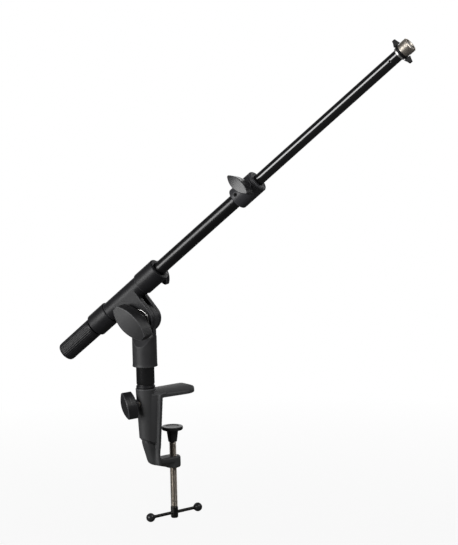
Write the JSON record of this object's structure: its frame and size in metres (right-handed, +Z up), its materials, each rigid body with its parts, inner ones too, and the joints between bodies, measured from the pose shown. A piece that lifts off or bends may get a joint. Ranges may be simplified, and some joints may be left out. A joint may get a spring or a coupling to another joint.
{
  "type": "microphone boom arm",
  "caption": "Table-clamp microphone boom arm: C-clamp with screw and pad, swivel post, tilting T-piece with leaf-shaped knob, sliding telescopic boom and threaded adapter end.",
  "frame": {"origin": "point where the clamp screw's axis meets the underside of the upper jaw, which rests on the table top", "axes": "+Z up, against the table top from above; +X from the post towards the jaw's end, into the table; +Y along the table edge"},
  "size_m": [0.2042, 0.3726, 0.527],
  "materials": {
    "powder_coat": "satin charcoal powder coat on a die casting",
    "gloss_black_tube": "gloss black enamel on steel tube",
    "charcoal_plastic": "fine-grained charcoal moulding",
    "knob_plastic": "satin charcoal moulding",
    "black_plastic": "smooth black moulding",
    "ribbed_rubber": "matt black, fine lengthwise ribs",
    "zinc_steel": "zinc-plated steel",
    "black_steel": "black finished steel rod",
    "nickel": "nickel plate",
    "brass_insert": "turned brass",
    "nylon": "black nylon"
  },
  "bodies": {
    "clamp": {"clamp_body": "powder_coat", "post_bush": "charcoal_plastic"},
    "clamp_knob": {"clamp_knob": "knob_plastic", "clamp_knob_stud": "zinc_steel"},
    "pressure_pad": {"pressure_pad": "black_plastic"},
    "clamp_screw": {"clamp_screw": "zinc_steel"},
    "tommy_bar": {"tommy_bar": "black_steel", "tommy_ball_left": "black_plastic", "tommy_ball_right": "black_plastic"},
    "post": {"post_spigot": "zinc_steel", "post_tube": "gloss_black_tube", "pivot_base": "charcoal_plastic", "friction_washer_near": "nylon", "friction_washer_far": "nylon"},
    "holder": {"boom_holder": "charcoal_plastic", "rear_collar": "charcoal_plastic", "front_collar": "charcoal_plastic", "pivot_bolt": "zinc_steel", "pivot_washer": "zinc_steel"},
    "pivot_knob": {"pivot_knob": "knob_plastic", "pivot_knob_insert": "brass_insert"},
    "holder_knob": {"holder_knob": "knob_plastic", "holder_knob_stud": "zinc_steel"},
    "boom_outer": {"outer_tube": "gloss_black_tube", "rear_grip": "ribbed_rubber", "clutch_body": "charcoal_plastic", "clutch_bush": "nylon", "clutch_grub_screw": "zinc_steel"},
    "clutch_knob": {"clutch_knob": "knob_plastic", "clutch_knob_stud": "zinc_steel"},
    "boom_inner": {"inner_tube": "gloss_black_tube", "inner_glide": "nylon", "thread_stud": "zinc_steel"},
    "lock_nut": {"lock_nut": "knob_plastic"},
    "thread_adapter": {"thread_adapter": "nickel"}
  },
  "joints": [
    {"name": "post_swivel", "type": "hinge", "parent": "clamp", "child": "post", "pos_m": [-0.0345, 0, 0], "axis": [0, 0, 1], "continuous": true},
    {"name": "boom_tilt", "type": "hinge", "parent": "post", "child": "holder", "pos_m": [-0.0345, 0, 0.087], "axis": [-0.887, -0.4617, 0], "range_deg": [-99, 40]},
    {"name": "boom_slide", "type": "slide", "parent": "holder", "child": "boom_outer", "axis": [0.3563, -0.6844, 0.6361], "range_m": [-0.115, 0.0015]},
    {"name": "telescope", "type": "slide", "parent": "boom_outer", "child": "boom_inner", "axis": [0.3563, -0.6844, 0.6361], "range_m": [-0.197, 0.055]},
    {"name": "nut_turn", "type": "hinge", "parent": "boom_inner", "child": "lock_nut", "pos_m": [0.10221, -0.26262, 0.36942], "axis": [0.3563, -0.6844, 0.6361], "continuous": true},
    {"name": "adapter_turn", "type": "hinge", "parent": "boom_inner", "child": "thread_adapter", "pos_m": [0.10324, -0.2646, 0.37127], "axis": [0.3563, -0.6844, 0.6361], "continuous": true},
    {"name": "pivot_knob_turn", "type": "hinge", "parent": "holder", "child": "pivot_knob", "pos_m": [-0.0345, 0, 0.087], "axis": [-0.887, -0.4617, 0], "continuous": true},
    {"name": "holder_knob_turn", "type": "hinge", "parent": "holder", "child": "holder_knob", "pos_m": [-0.02923, -0.01013, 0.13477], "axis": [0.887, 0.4617, 0], "continuous": true},
    {"name": "clutch_knob_turn", "type": "hinge", "parent": "boom_outer", "child": "clutch_knob", "pos_m": [0.02589, -0.11601, 0.23318], "axis": [-0.9287, -0.3344, 0.1604], "continuous": true},
    {"name": "clamp_knob_turn", "type": "hinge", "parent": "clamp", "child": "clamp_knob", "pos_m": [-0.0345, 0, -0.0065], "axis": [-1, 0, 0], "continuous": true},
    {"name": "pad_travel", "type": "slide", "parent": "clamp", "child": "pressure_pad", "axis": [0, 0, 1], "range_m": [-0.0145, 0.033]},
    {"name": "screw_turn", "type": "hinge", "parent": "pressure_pad", "child": "clamp_screw", "pos_m": [0, 0, 0], "axis": [0, 0, 1], "range_deg": [-4170, 9500]},
    {"name": "bar_slide", "type": "slide", "parent": "clamp_screw", "child": "tommy_bar", "axis": [1, 0, 0], "range_m": [-0.023, 0.023]}
  ],
  "couplings": [
    {"joint": "pad_travel", "follows": "screw_turn", "m_per_rad": 0.00019894}
  ]
}
